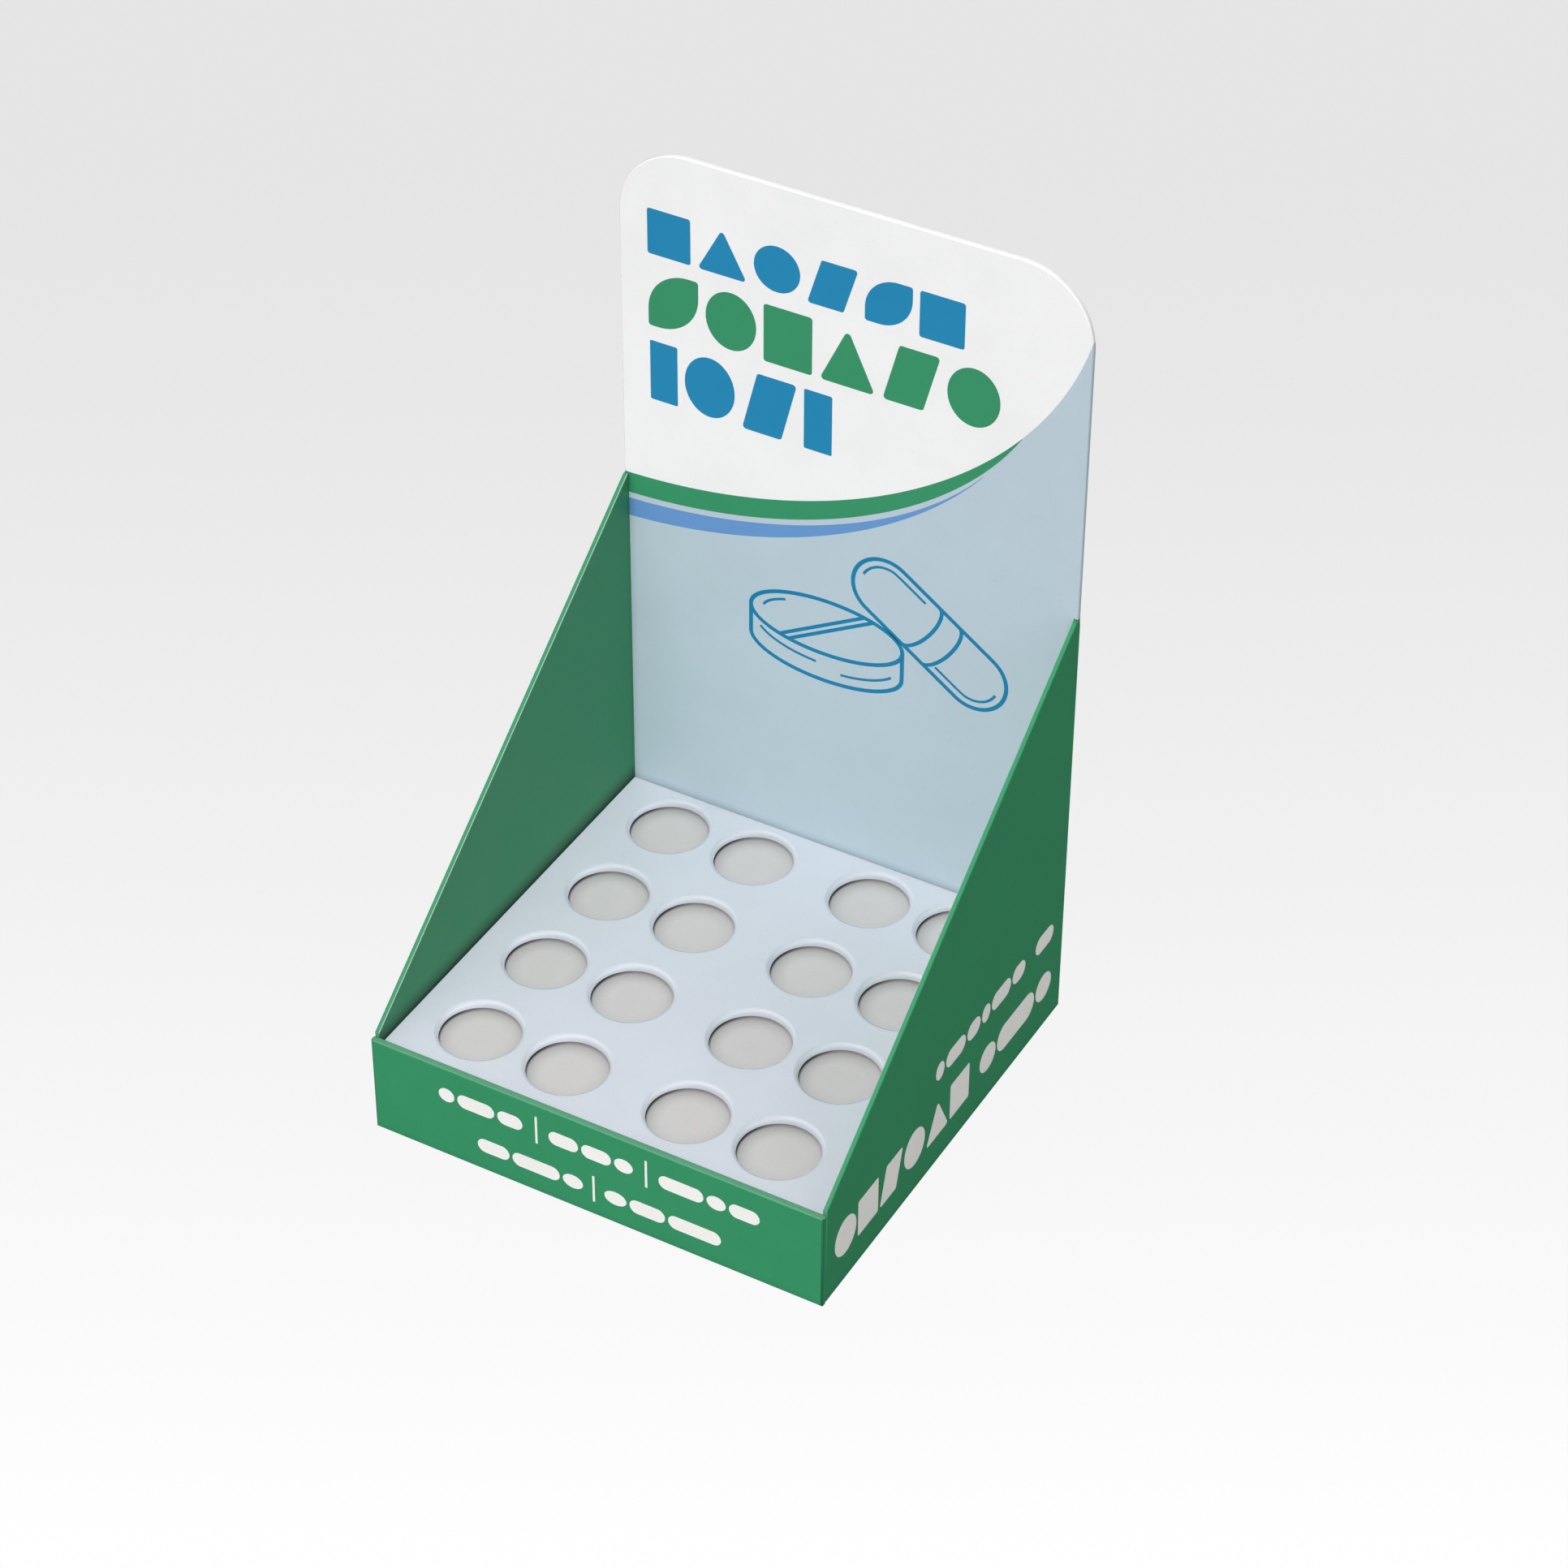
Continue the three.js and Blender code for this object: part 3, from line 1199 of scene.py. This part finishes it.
@dataclass
class WallPrint:
    """Pale rows of simple shapes on the front and on the outside of the right wall."""

    carton: Carton
    sunk: float = 0.02 * MM
    proud: float = 0.03 * MM
    gap: float = 1.4 * MM
    front: tuple = (
        ("dPb", -69.4, -31.4, 28.6, 38.0),
        ("bbd", -19.7, 17.8, 28.6, 38.0),
        ("Pdb", 29.1, 73.0, 28.6, 38.0),
        ("|", -25.7, -24.7, 25.6, 39.4),
        ("|", 23.1, 24.1, 25.6, 39.4),
        ("bPd", -52.4, -4.8, 9.7, 19.1),
        ("dbP", 4.8, 56.2, 9.7, 19.1),
        ("|", -0.5, 0.5, 6.9, 20.3),
    )
    side: tuple = (
        ("dPbdPb", -9.9, 65.0, 42.6, 54.6),
        ("b", 74.0, 89.6, 42.6, 54.6),
        ("DBLDTB", -89.2, 18.8, 13.6, 31.5),
        ("dPd", 27.8, 89.6, 15.0, 33.0),
    )

    def build(self) -> None:
        """Makes the rows as films on the two walls."""
        low, high = -self.sunk, self.proud
        ink = InkFinish("ink_pale", Palette().lettering)
        places = (
            ("front_print", self.front, Plane.FRONT, -1, (0, -self.carton.rear, 0)),
            ("side_print", self.side, Plane.SIDE, 1, (self.carton.right, 0, 0)),
        )
        for name, rows, plane, towards, origin in places:
            made = [Row(row[0], *(MM * value for value in row[1:]), self.gap) for row in rows]
            films = joined([row.film(low, high) for row in made])
            thing = standing(films, plane, towards, origin).object(name)
            place_piece(thing, ink.material(), Slot.PRINTED)


# Deck and riser


@dataclass(frozen=True)
class WellShade:
    """Painted shade on the riser in a well: a dark rim where it runs under the deck and a soft corner.

    Each has a width inside the well's edge and one past it, an even shade, and a stronger one towards
    a side, given as shares of left and rear.
    """

    rim: float = 1.1 * MM
    rim_past: float = 0.1 * MM
    rim_even: float = 0.18
    rim_strong: float = 0.72
    rim_side: tuple[float, float] = (0.93, -0.37)
    rim_full: float = 0.95
    soft: float = 8 * MM
    soft_past: float = 1 * MM
    soft_even: float = 0.10
    soft_strong: float = 0.28
    soft_side: tuple[float, float] = (0.8, 0.6)
    soft_start: float = -0.4

    def over(self, left: Socket, rear: Socket, away: Socket, radius: float) -> Socket:
        """Factor that the shade leaves of the board's colour.

        Args:
            left: how far to the left of the well's middle a point lies.
            rear: how far to the rear.
            away: its distance from the middle.
            radius: the well's radius.

        Returns:
            The factor.
        """
        edge = away.smooth(radius - self.rim, radius + self.rim_past)
        soft = away.smooth(radius - self.soft, radius + self.soft_past)
        at_side = (left * self.rim_side[0] + rear * self.rim_side[1]).smooth(0.0, self.rim_full * radius)
        corner = left * self.soft_side[0] + rear * self.soft_side[1]
        at_corner = corner.smooth(self.soft_start * radius, radius)
        rim = 1.0 - edge * (at_side * self.rim_strong + self.rim_even)
        return rim * (1.0 - soft * (at_corner * self.soft_strong + self.soft_even))


@dataclass
class Inserts:
    """The die-cut deck on its legs, and the plain riser that closes its wells from below."""

    carton: Carton
    deck_top: float
    deck_board: float = 3.3 * MM
    deck_bend: float = 1.2 * MM
    deck_edge: float = 0.35 * MM
    play: float = 0.4 * MM
    well_radius: float = 16.4 * MM
    rim_radius: float = 1.9 * MM
    foot_radius: float = 0.4 * MM
    pair_pitch: float = 39.8 * MM
    lane: float = 53.7 * MM
    row_pitch: float = 48 * MM
    rows: int = 4
    shift: tuple[float, float] = (-1.8 * MM, 2.3 * MM)
    riser_gap: float = 0.7 * MM
    riser_board: float = 2.0 * MM
    riser_bend: float = 1.0 * MM
    riser_edge: float = 0.3 * MM
    least_bend: float = 0.2 * MM
    bend_steps: int = 6
    rim_steps: int = 8
    well_sides: int = 96
    past: float = 1 * MM
    well_wall: tuple[float, float] = (-1.3 * MM, -0.1 * MM)
    # Painted light on the left of the wells' walls and painted shade at their rear.
    left_light: float = 0.3
    rear_shade: float = 0.2
    shade: WellShade = WellShade()

    def bridge(self, half: float, top: float, board: float, bend: float) -> Array:
        """Outline of a folded bridge: a flat top with a leg at each end.

        Args:
            half: half its span.
            top: height of its top.
            board: thickness of its board.
            bend: outer radius of its bends.

        Returns:
            The outline.
        """
        foot = self.carton.base_board
        inside = max(bend - board, self.least_bend)
        return rounded_outline([
            (-half, foot, 0),
            (-half + board, foot, 0),
            (-half + board, top - board, inside),
            (half - board, top - board, inside),
            (half - board, foot, 0),
            (half, foot, 0),
            (half, top, bend),
            (-half, top, bend),
        ], self.bend_steps)

    def punches(self) -> list[Mesh]:
        """The wells' punches: straight through, with a rounded rim above and a small one below.

        Returns:
            One punch for each well.
        """
        under = self.deck_top - self.deck_board
        radius, rim, foot = self.well_radius, self.rim_radius, self.foot_radius
        turn = np.linspace(0, math.pi / 2, self.rim_steps + 1)
        upper = np.stack([radius + rim * (1 - np.cos(turn)), self.deck_top - rim * (1 - np.sin(turn))], -1)
        lower = np.stack([radius + foot * (1 - np.sin(turn)), under + foot * (1 - np.cos(turn))], -1)
        foot_end = np.array([[radius + foot, under - self.past]])
        rim_end = np.array([[radius + rim, self.deck_top + self.past]])
        profile = np.concatenate([foot_end, lower, upper, rim_end])
        half = self.lane / 2
        columns = (-half - self.pair_pitch, -half, half, half + self.pair_pitch)
        rows = [(row - (self.rows - 1) / 2) * self.row_pitch for row in range(self.rows)]
        spots = [(x + self.shift[0], y + self.shift[1]) for y in rows for x in columns]
        return [lathe(profile, spot, self.well_sides) for spot in spots]

    def build(self) -> None:
        """Makes the deck and the riser."""
        carton = self.carton
        colors = Palette()
        middle = (carton.inner_front + carton.inner_rear) / 2
        inside = (carton.inner_rear - carton.inner_front) / 2
        wide = carton.inner_right - self.play
        outline = self.bridge(inside - self.play, self.deck_top, self.deck_board, self.deck_bend)
        board = slab(outline, 2 * wide, self.deck_edge, 3)
        piece = standing(board, Plane.SIDE, 1, (-wide, middle, 0)).object("deck_board")
        combined(piece, self.punches(), "DIFFERENCE")
        even_shading(piece)
        place_piece(piece, self.deck_finish(colors.deck), Slot.DECK, "deck_insert")
        half_length = inside - self.deck_board - 2 * self.play
        top = self.deck_top - self.deck_board - self.riser_gap
        outline = self.bridge(wide, top, self.riser_board, self.riser_bend)
        board = slab(outline, 2 * half_length, self.riser_edge, 3)
        piece = standing(board, Plane.FRONT, -1, (0, middle + half_length, 0)).object("riser_board")
        even_shading(piece)
        place_piece(piece, self.riser_finish(colors.plain), Slot.PLAIN, "riser")

    def from_well(self, x: Socket, y: Socket) -> tuple[Socket, Socket, Socket]:
        """Where a point lies as seen from the middle of the nearest well.

        Args:
            x: the X coordinate.
            y: the Y coordinate.

        Returns:
            How far to the left it lies, how far to the rear, and its distance.
        """
        first = x - self.shift[0]
        second = abs(first) - (self.lane + self.pair_pitch) / 2
        third = abs(second) - self.pair_pitch / 2
        left = third * second.math("SIGN") * first.math("SIGN") * -1.0
        rear = (((y - self.shift[1]) / self.row_pitch).math("FRACT") - 0.5) * self.row_pitch
        return left, rear, (left * left + rear * rear).math("SQRT")

    def deck_finish(self, color: tuple) -> bpy.types.Material:
        """Pale print, with painted light on the left of the wells' walls and painted shade at their rear.

        Args:
            color: the print colour.

        Returns:
            The deck's material.
        """
        shader = Shader(bpy.data.materials.new("deck_print"))
        vector, x, y, z = shader.place()
        left, rear, away = self.from_well(x, y)
        # Painted light and shade on the wells' walls: lighter to the left, darker to the rear.
        wall = 1.0 - (z - self.deck_top).smooth(*self.well_wall)
        wall = wall * (away < self.well_radius + self.rim_radius)
        lighter = left.smooth(0.0, self.well_radius) * self.left_light
        light = lighter - rear.smooth(0.0, self.well_radius) * self.rear_shade
        surface = BoardSurface(nook_shade=0.0)
        return shader.finish(surface.dress(shader, vector, shader.scaled(color, 1.0 + wall * light)))

    def riser_finish(self, color: tuple) -> bpy.types.Material:
        """Plain board with painted shade: dark where it runs under the deck round each well, a wide soft
        shade inside, and nook shade.

        Args:
            color: the board's colour.

        Returns:
            The riser's material.
        """
        shader = Shader(bpy.data.materials.new("plain_board_grey"))
        vector, x, y, _ = shader.place()
        left, rear, away = self.from_well(x, y)
        # Painted shade round each well, with painted nook shade from the board surface.
        shade = self.shade.over(left, rear, away, self.well_radius)
        surface = BoardSurface(roughness=0.7, fibre_depth=0.03 * MM, nook_shade=0.2, nook_shade_reach=3.0 * MM)
        return shader.finish(surface.dress(shader, vector, shader.scaled(color, shade)))


# Camera, light and floor


@dataclass(frozen=True)
class Lamp:
    """A wide soft lamp, far off: its direction, strength and spread in degrees."""

    name: str
    direction: tuple[float, float, float]
    strength: float
    spread: float
    shadow: bool


@dataclass
class Studio:
    """The camera of the photograph, wide soft lamps from the front and the sides and a pale floor."""

    azimuth: float = 29.2745
    elevation: float = 38.7429
    roll: float = 0.34
    distance: float = 1.70494
    target: tuple[float, float, float] = (0.010198, 0.030009, 0.126407)
    focal_length: float = 101.70
    sensor: float = 36.0
    lamps: tuple = (
        Lamp("key", (-0.10, -0.76, 0.64), 2.50, 40.0, False),
        Lamp("key_shadow", (-0.25, -0.70, 0.67), 0.30, 50.0, True),
        Lamp("right", (0.90, 0.10, 0.42), 0.95, 60.0, False),
        Lamp("back", (-0.35, 0.80, 0.49), 0.65, 60.0, False),
    )
    sky: float = 0.28
    bounce: float = 0.32
    gloss_share: float = 0.15
    glow: float = 1.05
    shown: float = 0.92
    horizon: tuple = linear(229, 229, 229)
    near_edge: float = -0.25
    far_edge: float = 0.70
    falloff: float = 1.6
    floor_half: float = 6.0
    floor_thickness: float = 0.01
    clip_end: float = 50.0

    def camera(self) -> None:
        """Sets the camera by its azimuth, elevation, roll, distance and aim."""
        azimuth, elevation = math.radians(self.azimuth), math.radians(self.elevation)
        back = Vector((
            math.sin(azimuth) * math.cos(elevation),
            -math.cos(azimuth) * math.cos(elevation),
            math.sin(elevation),
        ))
        data = bpy.data.cameras.new("camera")
        data.sensor_fit = "HORIZONTAL"
        data.sensor_width = self.sensor
        data.lens = self.focal_length
        data.clip_end = self.clip_end
        camera = bpy.data.objects.new("camera", data)
        turn = back.to_track_quat("Z", "Y").to_matrix() @ Matrix.Rotation(math.radians(self.roll), 3, "Z")
        camera.matrix_world = Matrix.Translation(Vector(self.target) + back * self.distance) @ turn.to_4x4()
        bpy.context.scene.collection.objects.link(camera)
        bpy.context.scene.camera = camera

    def light(self, lamp: Lamp) -> None:
        """Makes one lamp of the studio.

        Args:
            lamp: the lamp.
        """
        data = bpy.data.lights.new(lamp.name, "SUN")
        data.energy = lamp.strength
        data.angle = math.radians(lamp.spread)
        data.use_shadow = lamp.shadow
        light = bpy.data.objects.new(lamp.name, data)
        direction = Vector(lamp.direction).normalized()
        turn = direction.to_track_quat("Z", "Y").to_matrix().to_4x4()
        light.matrix_world = Matrix.Translation(direction) @ turn
        bpy.context.scene.collection.objects.link(light)

    def world(self) -> None:
        """An even sky, with a plain pale background for the camera."""
        shader = Shader(bpy.data.worlds.new("sky"))
        glossy = shader.node("ShaderNodeLightPath", "Is Glossy Ray")
        ends = {"To_Min": self.sky, "To_Max": self.sky * self.gloss_share}
        strength = shader.node("ShaderNodeMapRange", "Result", Value=glossy, **ends)
        light = shader.node("ShaderNodeBackground", Color=WHITE, Strength=strength)
        shown = shader.node("ShaderNodeBackground", Color=self.horizon)
        seen = shader.node("ShaderNodeLightPath", "Is Camera Ray")
        bpy.context.scene.world = shader.finish(shader.blend(seen, light, shown))

    def floor(self) -> None:
        """A pale floor that glows for the camera, white towards the viewer and light grey far off, with the
        object's soft shadow.
        """
        half, thick = self.floor_half, self.floor_thickness
        sheet = slab(rounded_outline(rectangle(-half, -half, half, half), 1), thick, 0.0, 1)
        floor = sheet.raised(-thick).object("floor")
        shader = Shader(bpy.data.materials.new("floor_paper"))
        _, x, y, _ = shader.place()
        angle = math.radians(self.azimuth)
        away = y * math.cos(angle) - x * math.sin(angle)
        near = (self.far_edge - away) / (self.far_edge - self.near_edge)
        near = near.math("MAXIMUM", 0.0).math("MINIMUM", 1.0)
        # Camera rays see a glowing, painted gradient; only the diffuse share is lit and keeps the shadow.
        color = shader.mix(near.math("POWER", self.falloff), self.horizon, WHITE)
        shown = shader.node("ShaderNodeEmission", Color=color, Strength=self.glow)
        paper = (self.bounce, self.bounce, self.bounce, 1.0)
        glossy = shader.node("ShaderNodeLightPath", "Is Glossy Ray")
        dimmed = shader.scaled(paper, 1.0 - glossy * (1.0 - self.gloss_share))
        lit = shader.node("ShaderNodeBsdfDiffuse", Color=dimmed)
        seen = shader.node("ShaderNodeLightPath", "Is Camera Ray")
        floor.data.materials.append(shader.finish(shader.blend(seen * self.shown, lit, shown)))

    def build(self) -> None:
        """Makes the studio."""
        self.camera()
        for lamp in self.lamps:
            self.light(lamp)
        self.world()
        self.floor()
        bpy.context.scene.view_settings.view_transform = "Standard"


def main() -> None:
    """Builds the pieces in order."""
    logging.basicConfig(level=logging.INFO, format="%(message)s")
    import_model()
    Studio().build()
    low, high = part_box("carton")
    deck_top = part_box("deck_insert")[1].z
    carton = Carton(high.x - low.x, high.y - low.y, high.z - low.z, deck_top)
    picture = HeaderPicture(carton)
    carton.build(picture)
    picture.build()
    WallPrint(carton).build()
    Inserts(carton, deck_top).build()


if __name__ == "__main__":
    main()
